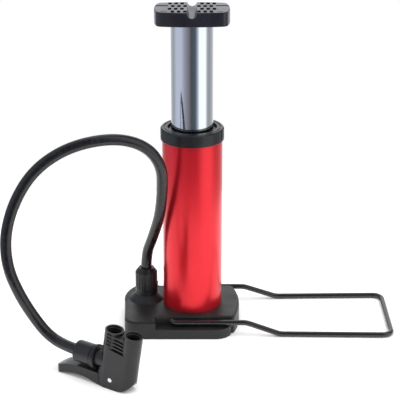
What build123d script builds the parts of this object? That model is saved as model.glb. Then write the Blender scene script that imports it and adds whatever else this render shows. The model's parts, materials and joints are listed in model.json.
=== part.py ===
from build123d import *
import math
import os

# Foot-operated mini pump. Millimetres, +Z up. The origin is on the barrel's axis, in the plane of
# the sole. The foot frame unfolds towards +X and the hose boss stands on the -X side.

os.makedirs("parts", exist_ok=True)

# ---------------------------------------------------------------- driving dimensions
barrel_r = 19.0
barrel_wall = 1.5
barrel_foot = 7.0
barrel_top = 129.4
tube_r = 13.25
tube_wall = 1.2
tube_foot = 99.0
pedal_bottom = 198.8
pedal_top = 207.65
pedal_half_x = 23.2
pedal_half_y = 15.1
base_top = 12.0
base_half_y = 33.2
body_half_y = 24.5
ledge_top = 6.5
rod_r = 5.0
piston_bottom = 108.0
piston_top = 124.0
spring_seat = 11.0
hose_r = 3.5
wire_r = 1.75
boss_x = -30.3
boss_y = 4.5
boss_top = 18.6
boss_r = 7.2
flare_r = 12.0
flare_h = 4.4
fit = 0.05  # radial play of a sliding fit
loose = 0.02  # radial play of a pressed or screwed fit

barrel_bore = barrel_r - barrel_wall
tube_bore = tube_r - tube_wall


def finish(builder, label):
    """Name a finished piece and write it."""
    builder.part.label = label
    export_step(builder.part, f"parts/{label}.step")


# ---------------------------------------------------------------- base
left_x = -44.0
right_x = 26.5
recess_x = -23.5
ledge_x = 25.0
pivot_x = -13.4
pivot_z = 9.3
pivot_end_y = 20.5
cover_x = -12.0
cover_length = 57.0
cover_depth = 32.0
cover_t = 2.0
gasket_t = 0.8
pocket_floor = cover_t + gasket_t
nut_pocket_r = 9.8
nut_pocket_top = 7.0
channel_w = 4.0
channel_top = 5.2
socket_play = 0.1
valve_bore = 3.5
spigot_r = 5.2
spigot_top = 25.0
screw_spots = [(-35.5, -11), (-35.5, 11), (-7, -12), (-7, 12), (12, -7), (12, 7)]
screw_r = 1.25
air_r = 1.6

with BuildPart() as base_body:
    with BuildSketch() as deck_plan:
        with BuildLine():
            Polyline((left_x + 0.8, -base_half_y), (recess_x, -base_half_y), (recess_x, -body_half_y),
                     (right_x, -body_half_y))
            ThreePointArc((right_x, -body_half_y), (right_x + 4, 0), (right_x, body_half_y))
            Polyline((right_x, body_half_y), (recess_x, body_half_y), (recess_x, base_half_y))
            ThreePointArc((recess_x, base_half_y), (left_x + 6.0, 24.5), (left_x - 0.2, 0))
            Line((left_x - 0.2, 0), (left_x + 0.8, -base_half_y))
        make_face()
        fillet(deck_plan.vertices().filter_by(lambda v: v.X < -40 and v.Y < 0), 8)
        fillet(deck_plan.vertices().filter_by(lambda v: v.X > 20), 3)
        fillet(deck_plan.vertices().filter_by(lambda v: abs(v.X - recess_x) < 1 and abs(v.Y) < 30), 2.5)
    extrude(amount=base_top)
    fillet(base_body.faces().sort_by(Axis.Z)[-1].edges(), 1.5)
    # the lower plate that the foot frame's arms lie above
    with BuildSketch() as ledge_plan:
        with Locations(((ledge_x + recess_x) / 2, 0)):
            Rectangle(ledge_x - recess_x, 2 * base_half_y)
        fillet(ledge_plan.vertices().group_by(Axis.X)[-1], 10)
    extrude(amount=ledge_top)
    # hose boss: a flared foot, a round pillar and the threaded spigot
    with Locations((boss_x, boss_y, base_top - 0.5)):
        Cone(flare_r, boss_r, flare_h, align=(Align.CENTER, Align.CENTER, Align.MIN))
    with Locations((boss_x, boss_y, base_top - 1)):
        Cylinder(boss_r, boss_top - base_top + 1, align=(Align.CENTER, Align.CENTER, Align.MIN))
        Cylinder(spigot_r, spigot_top - base_top + 1, align=(Align.CENTER, Align.CENTER, Align.MIN))
    # annular seat for the barrel, round the plug that carries rod and spring
    with BuildSketch(Plane.XY.offset(barrel_foot)):
        Circle(barrel_r + socket_play)
        Circle(barrel_bore - socket_play, mode=Mode.SUBTRACT)
    extrude(amount=base_top, mode=Mode.SUBTRACT)
    with BuildSketch(Plane.XY.offset(spring_seat)):
        Circle(barrel_bore)
    extrude(amount=base_top, mode=Mode.SUBTRACT)
    with BuildSketch():
        Circle(rod_r + loose)
    extrude(amount=base_top, mode=Mode.SUBTRACT)
    # underside: cover recess, rod nut pocket, air channel to the hose boss, screw holes
    with BuildSketch():
        with Locations((cover_x, 0)):
            RectangleRounded(cover_length + 0.4, cover_depth + 0.4, 6.2)
    extrude(amount=pocket_floor, mode=Mode.SUBTRACT)
    with BuildSketch():
        Circle(nut_pocket_r)
    extrude(amount=nut_pocket_top, mode=Mode.SUBTRACT)
    with BuildSketch():
        with BuildLine():
            Line((0, 0), (boss_x, boss_y))
        trace(line_width=channel_w)
    extrude(amount=channel_top, mode=Mode.SUBTRACT)
    with BuildSketch():
        with Locations((boss_x, boss_y)):
            Circle(air_r + 0.4)
    extrude(amount=base_top + 1, mode=Mode.SUBTRACT)
    with BuildSketch(Plane.XY.offset(base_top)):
        with Locations((boss_x, boss_y)):
            Circle(valve_bore)
    extrude(amount=spigot_top, mode=Mode.SUBTRACT)
    with BuildSketch():
        with Locations(*screw_spots):
            Circle(screw_r + loose)
    extrude(amount=9.0, mode=Mode.SUBTRACT)
    # blind holes for the foot frame's ends
    for side in (-1, 1):
        with BuildSketch(Plane.XZ.offset(-side * (pivot_end_y - 0.5))):
            with Locations((pivot_x, pivot_z)):
                Circle(wire_r + fit)
        extrude(amount=-side * 8, mode=Mode.SUBTRACT)
finish(base_body, "base_body")

with BuildPart() as bottom_cover:
    with BuildSketch():
        with Locations((cover_x, 0)):
            RectangleRounded(cover_length, cover_depth, 6)
    extrude(amount=cover_t)
    with BuildSketch():
        with Locations(*screw_spots):
            Circle(2.7)
    extrude(amount=cover_t, taper=32, mode=Mode.SUBTRACT)
    with BuildSketch():
        with Locations(*screw_spots):
            Circle(screw_r + fit)
    extrude(amount=cover_t, mode=Mode.SUBTRACT)
finish(bottom_cover, "bottom_cover")

with BuildPart() as channel_gasket:
    with BuildSketch(Plane.XY.offset(cover_t)):
        with Locations((cover_x, 0)):
            RectangleRounded(cover_length, cover_depth, 6)
        Circle(nut_pocket_r, mode=Mode.SUBTRACT)
        with BuildLine():
            Line((0, 0), (boss_x, boss_y))
        trace(line_width=channel_w, mode=Mode.SUBTRACT)
        with Locations(*screw_spots):
            Circle(screw_r + fit, mode=Mode.SUBTRACT)
    extrude(amount=gasket_t)
finish(channel_gasket, "channel_gasket")

with BuildPart() as cover_screws:
    with BuildSketch():
        with Locations(*screw_spots):
            Circle(2.6)
    extrude(amount=2, taper=34)
    with BuildSketch():
        with Locations(*screw_spots):
            Circle(screw_r)
    extrude(amount=8.5)
    with BuildSketch():
        with Locations(*screw_spots):
            Rectangle(3, 0.6)
            Rectangle(0.6, 3)
    extrude(amount=0.8, mode=Mode.SUBTRACT)
finish(cover_screws, "cover_screws")

# ---------------------------------------------------------------- barrel, collar and guide
with BuildPart() as barrel:
    with BuildSketch(Plane.XY.offset(barrel_foot)):
        Circle(barrel_r)
        Circle(barrel_bore, mode=Mode.SUBTRACT)
    extrude(amount=barrel_top - barrel_foot)
finish(barrel, "barrel")

collar_r = 20.0
collar_bottom = 123.9
collar_top = 131.9
lip_r = 15.6
groove_inner_r = 17.3
groove_outer_r = 18.0
notch_angles = [centre + 8 * step for centre in (0, 180) for step in (-3, -2, -1, 0, 1, 2, 3)]

with BuildPart() as top_collar:
    with BuildSketch(Plane.XY.offset(collar_bottom)):
        Circle(collar_r)
    extrude(amount=collar_top - collar_bottom)
    chamfer(top_collar.faces().sort_by(Axis.Z)[-1].edges(), 0.9)
    fillet(top_collar.faces().sort_by(Axis.Z)[0].edges(), 0.4)
    with BuildSketch(Plane.XY.offset(collar_bottom)):
        Circle(barrel_r + loose)
    extrude(amount=barrel_top - collar_bottom, mode=Mode.SUBTRACT)
    with BuildSketch(Plane.XY.offset(collar_bottom)):
        Circle(lip_r)
    extrude(amount=collar_top - collar_bottom, mode=Mode.SUBTRACT)
    # fine groove round the flat top
    with BuildSketch(Plane.XY.offset(collar_top - 0.5)):
        Circle(groove_outer_r)
        Circle(groove_inner_r, mode=Mode.SUBTRACT)
    extrude(amount=1, mode=Mode.SUBTRACT)
    # short grip notches on both sides
    with BuildSketch(Plane.XY.offset(collar_bottom + 1.6)):
        for angle in notch_angles:
            with PolarLocations(collar_r + 0.1, 1, start_angle=angle):
                Rectangle(1.2, 1.1)
    extrude(amount=collar_top, mode=Mode.SUBTRACT)
finish(top_collar, "top_collar")

bush_bottom = 112.0
bush_rim = 130.4
wiper_bottom = 125.0
wiper_h = 2.6
wiper_r = 14.8

with BuildPart() as guide_bush:
    with BuildSketch(Plane.XY.offset(bush_bottom)):
        Circle(barrel_bore - fit)
    extrude(amount=barrel_top - bush_bottom)
    with BuildSketch(Plane.XY.offset(bush_bottom)):
        Circle(lip_r - fit)
    extrude(amount=bush_rim - bush_bottom)
    fillet(guide_bush.faces().sort_by(Axis.Z)[-1].edges(), 0.5)
    with BuildSketch(Plane.XY.offset(bush_bottom)):
        Circle(tube_r + fit)
    extrude(amount=bush_rim - bush_bottom, mode=Mode.SUBTRACT)
    with BuildSketch(Plane.XY.offset(wiper_bottom)):
        Circle(wiper_r + loose)
    extrude(amount=wiper_h, mode=Mode.SUBTRACT)
finish(guide_bush, "guide_bush")

with BuildPart() as wiper_ring:
    with BuildSketch(Plane.XY.offset(wiper_bottom + loose)):
        Circle(wiper_r)
        Circle(tube_r + fit, mode=Mode.SUBTRACT)
    extrude(amount=wiper_h - 2 * loose)
finish(wiper_ring, "wiper_ring")

# ---------------------------------------------------------------- plunger: tube, guide ring, plug, pedal
with BuildPart() as pump_cylinder:
    with BuildSketch(Plane.XY.offset(tube_foot)):
        Circle(tube_r)
        Circle(tube_bore, mode=Mode.SUBTRACT)
    extrude(amount=pedal_bottom - tube_foot)
finish(pump_cylinder, "pump_cylinder")

guide_ring_top = 111.7

with BuildPart() as tube_guide_ring:
    with BuildSketch(Plane.XY.offset(tube_foot)):
        Circle(barrel_bore - 0.08)
        Circle(tube_r + loose, mode=Mode.SUBTRACT)
    extrude(amount=guide_ring_top - tube_foot)
    with BuildSketch(Plane.XY.offset(tube_foot + 4)):
        Circle(barrel_bore)
        Circle(barrel_bore - 1.2, mode=Mode.SUBTRACT)
    extrude(amount=4.5, mode=Mode.SUBTRACT)
finish(tube_guide_ring, "tube_guide_ring")

plug_bottom = 190.0
plug_groove = 193.1
plug_groove_h = 2.0
oring_r = 0.95
pedal_screw_x = 6.0
pedal_screw_r = 1.05

with BuildPart() as cylinder_plug:
    with BuildSketch(Plane.XY.offset(plug_bottom)):
        Circle(tube_bore - loose)
    extrude(amount=pedal_bottom - plug_bottom)
    with BuildSketch(Plane.XY.offset(plug_groove)):
        Circle(tube_bore)
        Circle(tube_bore - 2 * oring_r - 0.1, mode=Mode.SUBTRACT)
    extrude(amount=plug_groove_h, mode=Mode.SUBTRACT)
    with BuildSketch(Plane.XY.offset(plug_bottom)):
        with GridLocations(2 * pedal_screw_x, 0, 2, 1):
            Circle(pedal_screw_r + fit)
    extrude(amount=pedal_bottom - plug_bottom, mode=Mode.SUBTRACT)
    with BuildSketch(Plane.XY.offset(plug_bottom)):
        with GridLocations(2 * pedal_screw_x, 0, 2, 1):
            Circle(2.8)
    extrude(amount=2.4, mode=Mode.SUBTRACT)
finish(cylinder_plug, "cylinder_plug")

with BuildPart() as plug_seal:
    with Locations((0, 0, plug_groove + plug_groove_h / 2)):
        Torus(tube_bore - oring_r - 0.04, oring_r)
finish(plug_seal, "plug_seal")

with BuildPart() as pedal_screws:
    with BuildSketch(Plane.XY.offset(plug_bottom + 0.2)):
        with GridLocations(2 * pedal_screw_x, 0, 2, 1):
            Circle(2.6)
    extrude(amount=2.2)
    with BuildSketch(Plane.XY.offset(plug_bottom + 0.2)):
        with GridLocations(2 * pedal_screw_x, 0, 2, 1):
            Circle(pedal_screw_r)
    extrude(amount=12.8)
    with BuildSketch(Plane.XY.offset(plug_bottom + 0.2)):
        with GridLocations(2 * pedal_screw_x, 0, 2, 1):
            Rectangle(3.4, 0.7)
            Rectangle(0.7, 3.4)
    extrude(amount=1.1, mode=Mode.SUBTRACT)
finish(pedal_screws, "pedal_screws")

groove_r = 2.95
groove_bottom = 204.6
groove_slope = 0.03
corner_x = 21.0
corner_y = 13.2
pedal_corner_r = 4.0
pit_x = 2.1
pit_y = 5.0
pit_depth = 2.2
pit_pitch_x = 3.75
pit_pitch_y = 7.3
pit_middle_x = 8.9
wing_line_x = 19.2
wing_line_y = 4.6
wing_line_w = 2.4
front_line_x = 16.9
front_line_y = -10.8

with BuildPart() as pedal:
    with BuildSketch(Plane.XY.offset(pedal_bottom)) as pedal_plan:
        with BuildLine():
            ThreePointArc((-corner_x, -corner_y), (-pedal_half_x, 0), (-corner_x, corner_y))
            ThreePointArc((-corner_x, corner_y), (0, pedal_half_y), (corner_x, corner_y))
            ThreePointArc((corner_x, corner_y), (pedal_half_x, 0), (corner_x, -corner_y))
            ThreePointArc((corner_x, -corner_y), (0, -pedal_half_y), (-corner_x, -corner_y))
        make_face()
        fillet(pedal_plan.vertices(), pedal_corner_r)
    extrude(amount=pedal_top - pedal_bottom)
    fillet(pedal.faces().sort_by(Axis.Z)[-1].edges(), 0.7)
    fillet(pedal.faces().sort_by(Axis.Z)[0].edges(), 0.4)
    # rounded groove across the top, a little deeper in front, where the folded foot frame rests
    groove_plane = Plane(origin=(0, 0, groove_bottom), x_dir=(1, 0, 0), z_dir=(0, -1, -groove_slope))
    with BuildSketch(groove_plane.offset(-pedal_half_y - 1)):
        with Locations((0, groove_r)):
            Circle(groove_r)
        with BuildLine():
            Polyline((-groove_r, groove_r), (groove_r, groove_r), (groove_r + 0.4, 5), (-groove_r - 0.4, 5),
                     close=True)
        make_face()
    extrude(amount=2 * pedal_half_y + 2, mode=Mode.SUBTRACT)
    # staggered square pits, two groups of three columns
    with BuildSketch(Plane.XY.offset(pedal_top - pit_depth)):
        for side in (-1, 1):
            for row in range(4):
                stagger = pit_pitch_x / 4 if row % 2 else -pit_pitch_x / 4
                for column in (-1, 0, 1):
                    x = side * (pit_middle_x + column * pit_pitch_x + stagger)
                    with Locations((x, (row - 1.5) * pit_pitch_y)):
                        Rectangle(pit_x, pit_y)
    extrude(amount=pit_depth + 1, mode=Mode.SUBTRACT)
    # a deep line and a short fine one across each wing
    with BuildSketch(Plane.XY.offset(pedal_top - 1.5)):
        with Locations((-wing_line_x, wing_line_y), (wing_line_x, wing_line_y)):
            Rectangle(9, wing_line_w)
        with Locations((-front_line_x, front_line_y), (front_line_x, front_line_y)):
            Rectangle(3.8, 0.9)
    extrude(amount=2, mode=Mode.SUBTRACT)
    with BuildSketch(Plane.XY.offset(pedal_bottom)):
        with GridLocations(2 * pedal_screw_x, 0, 2, 1):
            Circle(pedal_screw_r + loose)
    extrude(amount=4.6, mode=Mode.SUBTRACT)
finish(pedal, "pedal")

# ---------------------------------------------------------------- rod, piston and return spring
rod_foot = 3.0
rod_top = 112.0
nut_bottom = 3.2
seal_t = 0.6
nut_top = nut_pocket_top - seal_t

with BuildPart() as piston_rod:
    with BuildSketch(Plane.XY.offset(rod_foot)):
        Circle(rod_r)
        Circle(air_r, mode=Mode.SUBTRACT)
    extrude(amount=rod_top - rod_foot)
finish(piston_rod, "piston_rod")

with BuildPart() as rod_nut:
    with BuildSketch(Plane.XY.offset(nut_bottom)):
        RegularPolygon(8.6, 6)
        Circle(rod_r + loose, mode=Mode.SUBTRACT)
    extrude(amount=nut_top - nut_bottom)
finish(rod_nut, "rod_nut")

with BuildPart() as rod_seal:
    with BuildSketch(Plane.XY.offset(nut_top)):
        Circle(8.0)
        Circle(rod_r + loose, mode=Mode.SUBTRACT)
    extrude(amount=seal_t)
finish(rod_seal, "rod_seal")

piston_groove = 116.5
piston_oring_r = 1.3
piston_play = 0.1

with BuildPart() as piston_head:
    with BuildSketch(Plane.XY.offset(piston_bottom)):
        Circle(tube_bore - piston_play)
        Circle(air_r, mode=Mode.SUBTRACT)
    extrude(amount=piston_top - piston_bottom)
    chamfer(piston_head.faces().sort_by(Axis.Z)[-1].edges().sort_by(SortBy.RADIUS)[-1], 0.8)
    with BuildSketch(Plane.XY.offset(piston_bottom)):
        Circle(rod_r + loose)
    extrude(amount=rod_top - piston_bottom, mode=Mode.SUBTRACT)
    with BuildSketch(Plane.XY.offset(piston_groove)):
        Circle(tube_bore)
        Circle(tube_bore - 2 * piston_oring_r - 0.1, mode=Mode.SUBTRACT)
    extrude(amount=2 * piston_oring_r + 0.4, mode=Mode.SUBTRACT)
finish(piston_head, "piston_head")

with BuildPart() as piston_seal:
    with Locations((0, 0, piston_groove + piston_oring_r + 0.2)):
        Torus(tube_bore - piston_oring_r - 0.05, piston_oring_r)
finish(piston_seal, "piston_seal")

spring_wire_r = 0.9
spring_mean_r = 15.3
spring_turns = 11.5


def spring(bottom, top, mean_r, wire_r_mm, turns):
    """A round-wire compression spring between two planes."""
    rise = top - bottom - 2 * wire_r_mm
    with BuildPart() as coil:
        with BuildLine() as centre_line:
            Helix(rise / turns, rise, mean_r, center=(0, 0, bottom + wire_r_mm))
        with BuildSketch(Plane(centre_line.line @ 0, z_dir=centre_line.line % 0)):
            Circle(wire_r_mm)
        sweep(path=centre_line.line, is_frenet=True)
    return coil


return_spring = spring(spring_seat + 0.3, tube_foot - 0.3, spring_mean_r, spring_wire_r, spring_turns)
finish(return_spring, "return_spring")

# ---------------------------------------------------------------- hose boss: check valve, barb, nut
seat_top = 14.0
seat_hole = 1.4
ball_r = 2.2
ball_z = seat_top + math.sqrt(ball_r**2 - seat_hole**2) + 0.03

with BuildPart() as valve_seat:
    with BuildSketch(Plane.XY.offset(base_top)):
        with Locations((boss_x, boss_y)):
            Circle(valve_bore - loose)
            Circle(seat_hole, mode=Mode.SUBTRACT)
    extrude(amount=seat_top - base_top)
finish(valve_seat, "valve_seat")

with BuildPart() as check_ball:
    with Locations((boss_x, boss_y, ball_z)):
        Sphere(ball_r)
finish(check_ball, "check_ball")

with BuildPart() as valve_spring:
    with BuildLine() as valve_coil:
        Helix(1.5, 6, 1.7, center=(boss_x, boss_y, 18.3))
    with BuildSketch(Plane(valve_coil.line @ 0, z_dir=valve_coil.line % 0)):
        Circle(0.3)
    sweep(path=valve_coil.line, is_frenet=True)
finish(valve_spring, "valve_spring")

barb_flange_top = 26.5
hose_foot = 30.0
nut_top_z = 34.0
nut_taper_z = 31.0

with BuildPart() as hose_barb:
    with BuildSketch(Plane.XY.offset(spigot_top)):
        with Locations((boss_x, boss_y)):
            Circle(4.9)
    extrude(amount=barb_flange_top - spigot_top)
    with BuildSketch(Plane.XY.offset(barb_flange_top)):
        with Locations((boss_x, boss_y)):
            Circle(2.9)
    extrude(amount=hose_foot - barb_flange_top)
    with BuildSketch(Plane.XY.offset(spigot_top)):
        with Locations((boss_x, boss_y)):
            Circle(1.0)
    extrude(amount=hose_foot - spigot_top, mode=Mode.SUBTRACT)
finish(hose_barb, "hose_barb")

with BuildPart() as hose_nut:
    with BuildSketch(Plane.XY.offset(boss_top)):
        with Locations((boss_x, boss_y)):
            Circle(boss_r)
    extrude(amount=nut_top_z - boss_top)
    chamfer(hose_nut.faces().sort_by(Axis.Z)[-1].edges(), length=nut_top_z - nut_taper_z, length2=2.2)
    with BuildSketch(Plane.XY.offset(boss_top)):
        with Locations((boss_x, boss_y)):
            Circle(spigot_r + fit)
    extrude(amount=barb_flange_top - boss_top, mode=Mode.SUBTRACT)
    with BuildSketch(Plane.XY.offset(barb_flange_top)):
        with Locations((boss_x, boss_y)):
            Circle(hose_r + 0.15)
    extrude(amount=nut_top_z - barb_flange_top, mode=Mode.SUBTRACT)
    # grip flutes
    with BuildSketch(Plane.XY.offset(boss_top + 1.2)):
        with Locations((boss_x, boss_y)):
            with PolarLocations(boss_r + 0.25, 20):
                Circle(0.6)
    extrude(amount=nut_top_z - boss_top, mode=Mode.SUBTRACT)
finish(hose_nut, "hose_nut")

# ---------------------------------------------------------------- folding foot frame
arm_y = 28.0
arm_bend_x = 34.5
floor_bend_x = 56.0
crossbar_x = 127.7
crossbar_y = 30.4
floor_z = wire_r


def arm_points(side):
    """Corners of one arm, from its pivot end to the crossbar's corner."""
    return [
        (pivot_x, side * pivot_end_y, pivot_z),
        (pivot_x, side * arm_y, pivot_z),
        (arm_bend_x, side * arm_y, pivot_z),
        (floor_bend_x, side * (arm_y + 0.9), floor_z),
        (crossbar_x, side * crossbar_y, floor_z),
    ]


with BuildPart() as foot_frame:
    with BuildLine() as wire_line:
        FilletPolyline(*arm_points(-1), *reversed(arm_points(1)), radius=[3.4, 14, 14, 6, 6, 14, 14, 3.4])
    with BuildSketch(Plane(wire_line.line @ 0, z_dir=wire_line.line % 0)):
        Circle(wire_r)
    sweep(path=wire_line.line)
finish(foot_frame, "foot_frame")

# ---------------------------------------------------------------- pump head on the hose
# The head stands on the floor. head_plane has X away from the hose, Y up, Z out of the face.
head_x = -41.8
head_y = -97.6
head_turn = math.radians(-34.0)
head_lean = 9.5
away = (math.cos(head_turn), math.sin(head_turn), 0)
facing = (math.sin(head_turn), -math.cos(head_turn), 0)
head_plane = Plane(origin=(head_x, head_y, 0), x_dir=away, z_dir=facing)
lean = math.radians(head_lean)
foot_shift = -3.4
upright = Vector(math.sin(lean) * away[0], math.sin(lean) * away[1], math.cos(lean))
across = Vector(math.cos(lean) * away[0], math.cos(lean) * away[1], -math.sin(lean))
body_origin = head_plane.from_local_coords(Vector(foot_shift, 0, 0))
section_plane = Plane(origin=body_origin, x_dir=across, z_dir=upright)
along_hose = Plane(origin=(head_x, head_y, 0), x_dir=facing, z_dir=(-away[0], -away[1], 0))


def body_axis_x(height):
    """Place of the body's middle line, across the head, at a height above the floor."""
    return foot_shift + height * math.tan(lean)


port_offset = 6.9
port_r = 5.65
port_bore = 4.6
port_tops = {"presta": (-port_offset, 36.8), "schrader": (port_offset, 38.5)}
port_holes = {"presta": 3.05, "schrader": 3.95}
web_top = 35.5
web_foot = 26.0
web_half = 2.4
web_span = 11.6
fin_pitch = 2.3
fin_t = 1.0
fin_count = 4
fin_foot = web_foot + 1.3
fin_half = 5.0
slot_middle = -5.7
slot_length = 4.4
pin_x = -4.6
pin_z = 6.2
pin_r = 1.5
heel_r = 8.6
heel_half = 5.3
toe_start = (0.5, 0)
toe_middle = (7.2, 2.6)
toe_end = (11.2, 8.5)
heel_top = 9.3
heel_foot = math.sqrt(heel_r**2 - pin_z**2)
heel_back = math.sqrt(heel_r**2 - (heel_top - pin_z) ** 2)
slot_half = 3.3
slot_roof = 9.0
cam_room = 6.6
yoke_floor = 14.0
yoke_t = 2.0
yoke_travel = 1.5
sleeve_top = 20.5
stem_x = -2.2
stem_r = 2.5
stem_foot = 11.1
neck_z = 16.0
neck_r = 5.2
neck_end = 19.3
neck_root = 8.0
barb_r = 1.95

with BuildPart() as head_body:
    with BuildSketch(section_plane.offset(-4)):
        SlotCenterToCenter(2 * port_offset, 2 * port_r)
    extrude(amount=web_foot + 4)
    with BuildSketch(section_plane.offset(web_foot)):
        with GridLocations(2 * port_offset, 0, 2, 1):
            Circle(port_r)
        Rectangle(web_span, 2 * web_half)
    extrude(amount=web_top - web_foot)
    for axis_x, top in port_tops.values():
        with BuildSketch(section_plane.offset(web_top)):
            with Locations((axis_x, 0)):
                Circle(port_r)
        extrude(amount=top - web_top)
    for step in range(fin_count):
        with BuildSketch(section_plane.offset(fin_foot + fin_pitch * step)):
            Rectangle(web_span, 2 * fin_half)
        extrude(amount=fin_t)
    # the slots between the fins run on across the front and back of the lower port's tube
    for step in range(fin_count):
        with BuildSketch(section_plane.offset(fin_foot + fin_t + fin_pitch * step)):
            for side in (-1, 1):
                with Locations((slot_middle, side * (fin_half + 1))):
                    Rectangle(slot_length, 2)
        extrude(amount=fin_pitch - fin_t, mode=Mode.SUBTRACT)
    # heel block under the neck
    with BuildSketch(head_plane.offset(-heel_half)):
        with BuildLine():
            Polyline((pin_x, 0), (pin_x, 15), (-10.5, 15), (pin_x - heel_r, 9.6), (pin_x - heel_r, 0),
                     close=True)
        make_face()
    extrude(amount=2 * heel_half)
    # neck that carries the hose collar
    with BuildSketch(along_hose.offset(neck_root)):
        with Locations((0, neck_z)):
            Circle(neck_r)
    extrude(amount=neck_end - neck_root)
    # rounded foot: flat under the pin, a big radius on the far side, a heel clear of the lever
    with BuildSketch(head_plane.offset(-8)):
        with BuildLine():
            Line((pin_x - heel_foot, 0), toe_start)
            ThreePointArc(toe_start, toe_middle, toe_end)
            Polyline(toe_end, (26, 50), (-30, 50), (-30, heel_top), (pin_x - heel_back, heel_top))
            ThreePointArc((pin_x - heel_back, heel_top), (pin_x - heel_r, pin_z), (pin_x - heel_foot, 0))
        make_face()
    extrude(amount=16, mode=Mode.INTERSECT)
    # port bores, with the yoke's cavity and stem hole below them
    for axis_x, top in port_tops.values():
        with BuildSketch(section_plane.offset(yoke_floor)):
            with Locations((axis_x, 0)):
                Circle(port_bore)
        extrude(amount=top, mode=Mode.SUBTRACT)
    with BuildSketch(section_plane.offset(yoke_floor)):
        SlotCenterToCenter(2 * port_offset, 2 * port_bore - 2)
    extrude(amount=yoke_t + yoke_travel + 0.3, mode=Mode.SUBTRACT)
    with BuildSketch(section_plane):
        with Locations((stem_x, 0)):
            Circle(stem_r + fit)
    extrude(amount=yoke_floor, mode=Mode.SUBTRACT)
    # slot for the lever's root, open towards the hose and downwards
    with BuildSketch(head_plane.offset(-slot_half)):
        with BuildLine():
            Polyline((-30, slot_roof), (-30, -2), (pin_x + cam_room, -2), (pin_x + cam_room, pin_z),
                     (pin_x, pin_z), (pin_x, slot_roof), close=True)
        make_face()
        with Locations((pin_x, pin_z)):
            Circle(cam_room)
    extrude(amount=2 * slot_half, mode=Mode.SUBTRACT)
    with BuildSketch(head_plane.offset(-8)):
        with Locations((pin_x, pin_z)):
            Circle(pin_r + loose)
    extrude(amount=16, mode=Mode.SUBTRACT)
    # air passage from the hose barb
    with BuildSketch(along_hose.offset(body_axis_x(neck_z) + 2)):
        with Locations((0, neck_z)):
            Circle(barb_r + loose)
    extrude(amount=neck_end + 4, mode=Mode.SUBTRACT)
finish(head_body, "head_body")

for name, (axis_x, top) in port_tops.items():
    with BuildPart() as grommet:
        with BuildSketch(section_plane.offset(sleeve_top + yoke_travel + 0.3)):
            with Locations((axis_x, 0)):
                Circle(port_bore - fit)
                Circle(port_holes[name], mode=Mode.SUBTRACT)
        extrude(amount=top - 3.2 - (sleeve_top + yoke_travel + 0.3))
    finish(grommet, f"{name}_grommet")
    with BuildPart() as port_ring:
        with BuildSketch(section_plane.offset(top - 3.2)):
            with Locations((axis_x, 0)):
                Circle(port_bore - loose)
                Circle(4.0, mode=Mode.SUBTRACT)
        extrude(amount=2.2)
        bore_edges = port_ring.edges().filter_by(GeomType.CIRCLE).sort_by(SortBy.RADIUS)[0:2]
        chamfer(bore_edges.sort_by(Axis.Z)[-1], 0.3)
    finish(port_ring, f"{name}_port_ring")

with BuildPart() as pusher_yoke:
    with BuildSketch(section_plane.offset(yoke_floor)):
        SlotCenterToCenter(2 * port_offset, 2 * port_bore - 3)
    extrude(amount=yoke_t)
    for axis_x, top in port_tops.values():
        with BuildSketch(section_plane.offset(yoke_floor)):
            with Locations((axis_x, 0)):
                Circle(port_bore - fit)
        extrude(amount=sleeve_top - yoke_floor)
        with BuildSketch(section_plane.offset(yoke_floor + yoke_t)):
            with Locations((axis_x, 0)):
                Circle(2.6)
        extrude(amount=sleeve_top, mode=Mode.SUBTRACT)
        with BuildSketch(section_plane.offset(yoke_floor + yoke_t)):
            with Locations((axis_x, 0)):
                Circle(0.8)
        extrude(amount=sleeve_top - yoke_floor - yoke_t)
    with BuildSketch(section_plane.offset(stem_foot)):
        with Locations((stem_x, 0)):
            Circle(stem_r)
    extrude(amount=yoke_floor - stem_foot + 0.5)
finish(pusher_yoke, "pusher_yoke")

collar_outer = 32.3
collar_len_r = 6.65
hose_seat = 30.3
barb_inner = 13.0
collar_ring_w = 3.0

with BuildPart() as head_collar:
    with BuildSketch(along_hose.offset(neck_end)):
        with Locations((0, neck_z)):
            Circle(collar_len_r)
    extrude(amount=collar_outer - neck_end)
    chamfer(head_collar.edges().filter_by(GeomType.CIRCLE), 0.8)
    with BuildSketch(along_hose.offset(neck_end)):
        with Locations((0, neck_z)):
            Circle(barb_r + loose)
    extrude(amount=collar_outer, mode=Mode.SUBTRACT)
    with BuildSketch(along_hose.offset(hose_seat)):
        with Locations((0, neck_z)):
            Circle(hose_r + 0.15)
    extrude(amount=collar_outer, mode=Mode.SUBTRACT)
finish(head_collar, "head_collar")

with BuildPart() as collar_ring:
    with BuildSketch(along_hose.offset(neck_end - collar_ring_w)):
        with Locations((0, neck_z)):
            Circle(7.4)
            Circle(neck_r + loose, mode=Mode.SUBTRACT)
    extrude(amount=collar_ring_w)
    fillet(collar_ring.edges().filter_by(GeomType.CIRCLE).group_by(SortBy.RADIUS)[-1], 1.0)
finish(collar_ring, "collar_ring")

with BuildPart() as head_barb:
    with BuildSketch(along_hose.offset(barb_inner)):
        with Locations((0, neck_z)):
            Circle(barb_r)
            Circle(1.1, mode=Mode.SUBTRACT)
    extrude(amount=hose_seat - barb_inner)
finish(head_barb, "head_barb")

lever_half = 5.3
root_half = 3.0
shoulder_r = 9.0
tip_x = -46.0
cam_r = 4.6
cam_throw = 1.5

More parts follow.
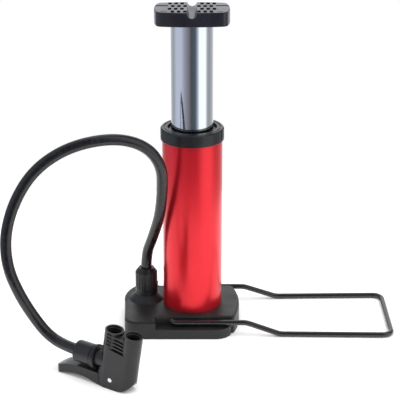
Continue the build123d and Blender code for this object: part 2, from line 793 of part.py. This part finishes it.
with BuildPart() as lever:
    # paddle
    with BuildSketch(head_plane.offset(-lever_half)) as paddle_side:
        with BuildLine():
            Spline((-12.5, 8.0), (-24, 8.5), (-34, 8.1), (-41, 6.6), (tip_x, 4.3))
            Line((tip_x, 4.3), (tip_x, 0.4))
            Line((tip_x, 0.4), (tip_x + 1.5, 0))
            Spline((tip_x + 1.5, 0), (-37, 2.2), (-27, 3.1), (-18, 1.6), (-11, 0.1))
            Line((-11, 0.1), (-12.5, 8.0))
        make_face()
        with Locations((pin_x, pin_z)):
            Circle(shoulder_r, mode=Mode.SUBTRACT)
    extrude(amount=2 * lever_half)
    tip_edges = lever.edges().filter_by(lambda e: abs(head_plane.to_local_coords(e.center()).X - tip_x) < 0.5)
    fillet(tip_edges.filter_by(lambda e: abs((e @ 0).Z - (e @ 1).Z) > 3), 3.5)
    # root between the head's cheeks, with the cam lobe
    with BuildSketch(head_plane.offset(-root_half)):
        with BuildLine():
            Polyline((pin_x, pin_z + 1.9), (-15.5, 8.0), (-15.5, 2.0), (pin_x, 0.4), close=True)
        make_face()
        with Locations((pin_x, pin_z)):
            Circle(cam_r)
        with Locations((pin_x + cam_throw, pin_z)):
            Circle(cam_r)
    extrude(amount=2 * root_half)
    with BuildSketch(head_plane.offset(-root_half)):
        with Locations((pin_x, pin_z)):
            Circle(pin_r + fit)
    extrude(amount=2 * root_half, mode=Mode.SUBTRACT)
finish(lever, "lever")

with BuildPart() as lever_pin:
    with BuildSketch(head_plane.offset(-port_r - 0.1)):
        with Locations((pin_x, pin_z)):
            Circle(pin_r)
    extrude(amount=2 * port_r + 0.2)
    chamfer(lever_pin.edges().filter_by(GeomType.CIRCLE), 0.25)
finish(lever_pin, "lever_pin")

# ---------------------------------------------------------------- hose
# Route from the barb in the base, up past the barrel, over and down to the collar of the head.
hose_end = along_hose.from_local_coords(Vector(0, neck_z, hose_seat))
hose_route = [
    Vector(boss_x, boss_y, hose_foot),
    Vector(boss_x, boss_y, 43),
    Vector(-25.5, -3, 58),
    Vector(-20.5, -13, 77),
    Vector(-18.5, -21, 97),
    Vector(-18.5, -28, 115),
    Vector(-26.5, -33, 129),
    Vector(-42, -37, 136),
    Vector(-61, -42, 136),
    Vector(-79, -47, 131),
    Vector(-95, -52, 120),
    Vector(-106, -57, 103),
    Vector(-112, -61, 83),
    Vector(-111, -64, 63),
    Vector(-104, -65, 45),
    Vector(-96, -65, 30.5),
    Vector(-88, -67.5, 20.5),
    along_hose.from_local_coords(Vector(0, neck_z, hose_seat + 13)),
    hose_end,
]


def route_radii(points):
    """Largest arcs that the straight runs allow, one for each inner point."""
    radii = []
    for before, here, after in zip(points, points[1:], points[2:]):
        turn = math.radians((here - before).get_angle(after - here))
        shorter = min((here - before).length, (after - here).length)
        radii.append(0.45 * shorter / math.tan(turn / 2))
    return radii


hose_radii = route_radii(hose_route)
print("hose radii", [round(radius, 1) for radius in hose_radii])

with BuildPart() as hose:
    with BuildLine():
        hose_path = FilletPolyline(*hose_route, radius=hose_radii)
    with BuildSketch(Plane(hose_path @ 0, z_dir=hose_path % 0)):
        Circle(hose_r)
    sweep(path=hose_path)
hose_length = hose_path.length
print("hose length", round(hose_length, 1))
print("hose volume / (section x length)", round(hose.part.volume / (math.pi * hose_r**2 * hose_length), 4))
finish(hose, "hose")
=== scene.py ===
import json
import math

import bpy
from mathutils import Euler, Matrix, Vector


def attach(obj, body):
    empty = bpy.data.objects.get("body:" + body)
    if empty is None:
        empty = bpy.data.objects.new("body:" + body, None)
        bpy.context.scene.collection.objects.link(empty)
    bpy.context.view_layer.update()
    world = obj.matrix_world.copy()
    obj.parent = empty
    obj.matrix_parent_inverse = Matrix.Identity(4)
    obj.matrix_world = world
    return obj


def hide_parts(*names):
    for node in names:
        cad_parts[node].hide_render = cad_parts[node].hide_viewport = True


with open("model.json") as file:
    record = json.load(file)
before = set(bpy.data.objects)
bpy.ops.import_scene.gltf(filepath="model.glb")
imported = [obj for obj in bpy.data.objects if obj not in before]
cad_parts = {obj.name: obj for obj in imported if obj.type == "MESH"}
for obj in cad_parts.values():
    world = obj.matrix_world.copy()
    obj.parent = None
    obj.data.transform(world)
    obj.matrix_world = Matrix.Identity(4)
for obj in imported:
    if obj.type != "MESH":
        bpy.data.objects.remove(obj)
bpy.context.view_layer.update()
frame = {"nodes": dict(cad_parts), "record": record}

# ---------------------------------------------------------------- camera
CAMERA_PLACE = (0.00486, -0.8395, 0.4022)
CAMERA_PITCH = math.radians(20.85)
CAMERA_LENS = 126.5
SENSOR_WIDTH = 36.0

camera_data = bpy.data.cameras.new("camera")
camera_data.lens = CAMERA_LENS
camera_data.sensor_width = SENSOR_WIDTH
camera = bpy.data.objects.new("camera", camera_data)
camera.location = CAMERA_PLACE
camera.rotation_euler = Euler((math.pi / 2 - CAMERA_PITCH, 0, 0))
bpy.context.scene.collection.objects.link(camera)
bpy.context.scene.camera = camera

# ---------------------------------------------------------------- node helpers
# A noise mostly stays between these values, so colour and roughness are spread over them.
NOISE_LOW = 0.35
NOISE_HIGH = 0.65


class Shader:
    """A Principled material and short calls that add its procedural nodes."""

    def __init__(self, name, colour, roughness, metallic=0.0, **sockets):
        self.material = bpy.data.materials.new(name)
        self.material.use_nodes = True
        self.tree = self.material.node_tree
        self.principled = self.tree.nodes["Principled BSDF"]
        self.principled.inputs["Base Color"].default_value = (*colour, 1)
        self.principled.inputs["Roughness"].default_value = roughness
        self.principled.inputs["Metallic"].default_value = metallic
        for socket, value in sockets.items():
            self.principled.inputs[socket.replace("_", " ")].default_value = value
        self.height = None

    def node(self, kind, **values):
        made = self.tree.nodes.new(kind)
        for key, value in values.items():
            made.inputs[key].default_value = value
        return made

    def link(self, source, target):
        self.tree.links.new(source, target)

    def place(self, stretch):
        """Object coordinates in metres, stretched."""
        where = self.node("ShaderNodeTexCoord")
        mapping = self.node("ShaderNodeMapping")
        mapping.inputs["Scale"].default_value = stretch
        self.link(where.outputs["Object"], mapping.inputs["Vector"])
        return mapping.outputs["Vector"]

    def noise(self, grain, detail=3.0, stretch=(1, 1, 1)):
        """Noise whose features are about one grain wide, in metres."""
        made = self.node("ShaderNodeTexNoise", Scale=1 / grain, Detail=detail)
        self.link(self.place(stretch), made.inputs["Vector"])
        return made.outputs["Fac"]

    def vary_roughness(self, value, low, high):
        """Maps the middle of a noise onto roughness low..high."""
        made = self.node("ShaderNodeMapRange")
        made.inputs["From Min"].default_value = NOISE_LOW
        made.inputs["From Max"].default_value = NOISE_HIGH
        made.inputs["To Min"].default_value = low
        made.inputs["To Max"].default_value = high
        self.link(value, made.inputs["Value"])
        self.link(made.outputs["Result"], self.principled.inputs["Roughness"])

    def vary_colour(self, value, dark, light):
        ramp = self.node("ShaderNodeValToRGB")
        ramp.color_ramp.elements[0].position = NOISE_LOW
        ramp.color_ramp.elements[1].position = NOISE_HIGH
        ramp.color_ramp.elements[0].color = (*dark, 1)
        ramp.color_ramp.elements[1].color = (*light, 1)
        self.link(value, ramp.inputs["Fac"])
        self.link(ramp.outputs["Color"], self.principled.inputs["Base Color"])

    def bump(self, value, depth):
        """Adds a bump of that depth in metres over the bumps made before."""
        made = self.node("ShaderNodeBump", Strength=1.0, Distance=depth)
        self.link(value, made.inputs["Height"])
        if self.height is not None:
            self.link(self.height, made.inputs["Normal"])
        self.height = made.outputs["Normal"]
        self.link(self.height, self.principled.inputs["Normal"])


MOULD_GRAIN = 0.00035
SHEEN_PATCH = 0.012


def moulded_plastic(name, colour, roughness, grain_depth):
    """Injection-moulded plastic: fine spark-erosion grain and slight changes of sheen."""
    shader = Shader(name, colour, roughness, Specular_IOR_Level=0.36)
    fine = shader.noise(MOULD_GRAIN, detail=2)
    broad = shader.noise(SHEEN_PATCH, detail=4)
    lighter = tuple(min(1.0, channel * 1.35 + 0.001) for channel in colour)
    shader.vary_colour(broad, colour, lighter)
    shader.vary_roughness(broad, roughness - 0.05, roughness + 0.08)
    shader.bump(fine, grain_depth)
    return shader.material


def anodised_red():
    """Satin anodised aluminium: fine drawn lines along the tube and a soft blasted grain."""
    shader = Shader("red_anodised", (0.66, 0.012, 0.022), 0.3, 0.72, Coat_Weight=0.3, Coat_Roughness=0.2)
    drawn = shader.noise(0.0006, detail=3, stretch=(1, 1, 0.02))
    grain = shader.noise(0.00025, detail=2)
    shader.vary_colour(shader.noise(0.02, detail=3), (0.68, 0.011, 0.021), (0.71, 0.014, 0.025))
    shader.vary_roughness(drawn, 0.28, 0.32)
    shader.bump(drawn, 0.0000008)
    shader.bump(grain, 0.000002)
    return shader.material


def chrome():
    """Polished chrome plating with barely visible wiping marks."""
    shader = Shader("chrome_plate", (0.80, 0.82, 0.84), 0.09, metallic=1.0)
    drawn = shader.noise(0.0004, detail=3, stretch=(1, 1, 0.03))
    shader.vary_roughness(drawn, 0.07, 0.12)
    shader.bump(shader.noise(0.006, detail=2), 0.000006)
    return shader.material


def steel(name, colour, roughness):
    shader = Shader(name, colour, roughness, metallic=1.0)
    scratches = shader.noise(0.0003, detail=4, stretch=(1, 0.1, 1))
    shader.vary_roughness(scratches, roughness - 0.06, roughness + 0.1)
    shader.bump(scratches, 0.000005)
    return shader.material


def rubber(name, colour, roughness):
    """Extruded rubber: a faint ripple and fine pores."""
    shader = Shader(name, colour, roughness)
    ripple = shader.noise(0.0025, detail=3)
    shader.vary_roughness(ripple, roughness - 0.05, roughness + 0.08)
    shader.vary_colour(ripple, colour, tuple(channel * 1.6 for channel in colour))
    shader.bump(ripple, 0.000006)
    shader.bump(shader.noise(0.0003, detail=2), 0.000002)
    return shader.material


def painted_wire():
    """Gloss black dip coating over steel wire, with a slight orange peel."""
    shader = Shader("wire_coating", (0.008, 0.008, 0.009), 0.22, Coat_Weight=0.4, Coat_Roughness=0.1)
    peel = shader.noise(0.0015, detail=2)
    shader.vary_roughness(peel, 0.18, 0.3)
    shader.bump(peel, 0.000004)
    return shader.material


materials = {
    "base_plastic": moulded_plastic("base_plastic", (0.010, 0.010, 0.010), 0.42, 0.00003),
    "black_plastic": moulded_plastic("black_plastic", (0.009, 0.009, 0.010), 0.27, 0.000012),
    "pedal_plastic": moulded_plastic("pedal_plastic", (0.011, 0.011, 0.016), 0.22, 0.00001),
    "red_barrel": anodised_red(),
    "chrome_tube": chrome(),
    "wire_paint": painted_wire(),
    "hose_rubber": rubber("hose_rubber", (0.005, 0.005, 0.006), 0.2),
    "seal_rubber": rubber("seal_rubber", (0.003, 0.003, 0.003), 0.45),
    "nylon": moulded_plastic("nylon", (0.72, 0.71, 0.66), 0.4, 0.00001),
    "steel": steel("bright_steel", (0.86, 0.86, 0.87), 0.48),
    "spring_steel": steel("spring_steel", (0.42, 0.42, 0.43), 0.3),
    "brass": steel("brass", (0.75, 0.52, 0.22), 0.28),
}
for part in frame["record"]["subparts"]:
    node = frame["nodes"][part["node"]]
    node.data.materials.clear()
    node.data.materials.append(materials[part["material_slot"]])

# ---------------------------------------------------------------- hose
HOSE_DIAMETER = 0.007
HEAD_TURN = math.radians(-34.0)
HEAD_PLACE = Vector((-0.0418, -0.0976, 0.016))
# From the head's middle to the hose's end inside the collar, and the straight run before it.
HOSE_SEAT = 0.0303
HOSE_LAST_RUN = 0.013
towards_hose = Vector((-math.cos(HEAD_TURN), -math.sin(HEAD_TURN), 0))
hose_end = HEAD_PLACE + towards_hose * HOSE_SEAT
hose_last_run = HEAD_PLACE + towards_hose * (HOSE_SEAT + HOSE_LAST_RUN)
hose_route = [
    Vector((-0.0303, 0.0045, 0.030)),
    Vector((-0.0303, 0.0045, 0.043)),
    Vector((-0.0255, -0.003, 0.058)),
    Vector((-0.0205, -0.013, 0.077)),
    Vector((-0.0185, -0.021, 0.097)),
    Vector((-0.0185, -0.028, 0.115)),
    Vector((-0.0265, -0.033, 0.129)),
    Vector((-0.042, -0.037, 0.136)),
    Vector((-0.061, -0.042, 0.136)),
    Vector((-0.079, -0.047, 0.131)),
    Vector((-0.095, -0.052, 0.120)),
    Vector((-0.106, -0.057, 0.103)),
    Vector((-0.112, -0.061, 0.083)),
    Vector((-0.111, -0.064, 0.063)),
    Vector((-0.104, -0.065, 0.045)),
    Vector((-0.096, -0.065, 0.0305)),
    Vector((-0.088, -0.0675, 0.0205)),
    hose_last_run,
    hose_end,
]
hose_curve = bpy.data.curves.new("hose_rubber_tube", "CURVE")
hose_curve.dimensions = "3D"
hose_curve.bevel_depth = HOSE_DIAMETER / 2
hose_curve.bevel_resolution = 8
hose_curve.resolution_u = 12
hose_curve.use_fill_caps = True
hose_spline = hose_curve.splines.new("NURBS")
hose_spline.points.add(len(hose_route) - 1)
for point, place in zip(hose_spline.points, hose_route):
    point.co = (*place, 1)
hose_spline.order_u = 3
hose_spline.use_endpoint_u = True
hose_curve.materials.append(materials["hose_rubber"])
hose = bpy.data.objects.new("hose_rubber_tube", hose_curve)
bpy.context.scene.collection.objects.link(hose)
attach(hose, "base")
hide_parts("hose")

# ---------------------------------------------------------------- floor and light
# Brightness of the studio's walls by azimuth in degrees: 0 is towards -Y, 90 towards +X. Only
# reflections see it: two soft panels, a narrow dark gap between them and grey sides.
STUDIO_BANDS = [
    (-180, (1.3, 1.32, 1.36)),
    (-150, (0.60, 0.61, 0.64)),
    (-120, (0.34, 0.37, 0.40)),
    (-92, (0.56, 0.60, 0.74)),
    (-60, (0.55, 0.59, 0.73)),
    (-40, (0.33, 0.34, 0.42)),
    (-20, (0.22, 0.21, 0.25)),
    (-4, (0.07, 0.08, 0.09)),
    (18, (0.09, 0.11, 0.15)),
    (30, (0.40, 0.45, 0.52)),
    (40, (1.15, 1.20, 1.25)),
    (76, (1.20, 1.22, 1.22)),
    (90, (0.40, 0.43, 0.45)),
    (108, (0.34, 0.36, 0.38)),
    (135, (0.52, 0.54, 0.55)),
    (155, (0.90, 0.91, 0.93)),
    (180, (1.3, 1.32, 1.36)),
]


def studio_bands(tree, direction):
    """Colour of the studio's walls in a direction, from STUDIO_BANDS."""
    axes = tree.nodes.new("ShaderNodeSeparateXYZ")
    tree.links.new(direction, axes.inputs[0])
    flip = tree.nodes.new("ShaderNodeMath")
    flip.operation = "MULTIPLY"
    flip.inputs[1].default_value = -1
    tree.links.new(axes.outputs["Y"], flip.inputs[0])
    azimuth = tree.nodes.new("ShaderNodeMath")
    azimuth.operation = "ARCTAN2"
    tree.links.new(axes.outputs["X"], azimuth.inputs[0])
    tree.links.new(flip.outputs[0], azimuth.inputs[1])
    turn = tree.nodes.new("ShaderNodeMapRange")
    turn.inputs["From Min"].default_value = -math.pi
    turn.inputs["From Max"].default_value = math.pi
    tree.links.new(azimuth.outputs[0], turn.inputs["Value"])
    ramp = tree.nodes.new("ShaderNodeValToRGB")
    stops = ramp.color_ramp.elements
    for degrees, colour in STUDIO_BANDS[1:-1]:
        stops.new(degrees / 360 + 0.5).color = (*colour, 1)
    stops[0].color = (*STUDIO_BANDS[0][1], 1)
    stops[-1].color = (*STUDIO_BANDS[-1][1], 1)
    tree.links.new(turn.outputs["Result"], ramp.inputs["Fac"])
    return ramp.outputs["Color"]


FLOOR_RADIUS = 0.24
FLOOR_CORNERS = 96
floor_mesh = bpy.data.meshes.new("floor")
floor_angles = [math.tau * step / FLOOR_CORNERS for step in range(FLOOR_CORNERS)]
floor_mesh.from_pydata(
    [(FLOOR_RADIUS * math.cos(angle), FLOOR_RADIUS * math.sin(angle), 0) for angle in floor_angles],
    [], [tuple(range(FLOOR_CORNERS))])
floor_white = Shader("floor_white", (0.93, 0.93, 0.93), 0.9, Specular_IOR_Level=0.1)
floor_mesh.materials.append(floor_white.material)
floor = bpy.data.objects.new("floor", floor_mesh)
bpy.context.scene.collection.objects.link(floor)


def softbox(name, place, aim, size, power, colour=(1, 1, 1)):
    """A rectangular area light that looks at a point."""
    data = bpy.data.lights.new(name, "AREA")
    data.shape = "RECTANGLE"
    data.size, data.size_y = size
    data.energy = power
    data.color = colour
    light = bpy.data.objects.new(name, data)
    light.location = place
    light.rotation_euler = (Vector(aim) - Vector(place)).to_track_quat("-Z", "Y").to_euler()
    light.visible_glossy = False
    bpy.context.scene.collection.objects.link(light)


OBJECT_MIDDLE = (0, 0, 0.1)
softbox("top", (0.1, -0.2, 1.6), OBJECT_MIDDLE, (1.6, 1.6), 16)
softbox("right", (1.1, -0.55, 0.35), OBJECT_MIDDLE, (0.8, 1.1), 8)
softbox("left", (-1.2, -0.7, 0.4), OBJECT_MIDDLE, (0.7, 1.1), 5, (0.9, 0.95, 1.0))


# The Mix node's sockets for two colours and their result.
MIX_FACTOR, MIX_FIRST, MIX_SECOND, MIX_RESULT = 0, 6, 7, 2


def studio_world():
    """White room for sight and soft light, banded walls for reflections."""
    world = bpy.data.worlds.new("studio")
    world.use_nodes = True
    tree = world.node_tree
    background = tree.nodes["Background"]
    place = tree.nodes.new("ShaderNodeTexCoord")
    bands = studio_bands(tree, place.outputs["Generated"])
    path = tree.nodes.new("ShaderNodeLightPath")
    mix = tree.nodes.new("ShaderNodeMix")
    mix.data_type = "RGBA"
    mix.inputs[MIX_FIRST].default_value = (1, 1, 1, 1)
    tree.links.new(path.outputs["Is Glossy Ray"], mix.inputs[MIX_FACTOR])
    tree.links.new(bands, mix.inputs[MIX_SECOND])
    tree.links.new(mix.outputs[MIX_RESULT], background.inputs["Color"])
    return world


bpy.context.scene.world = studio_world()
bpy.context.scene.view_settings.view_transform = "Standard"
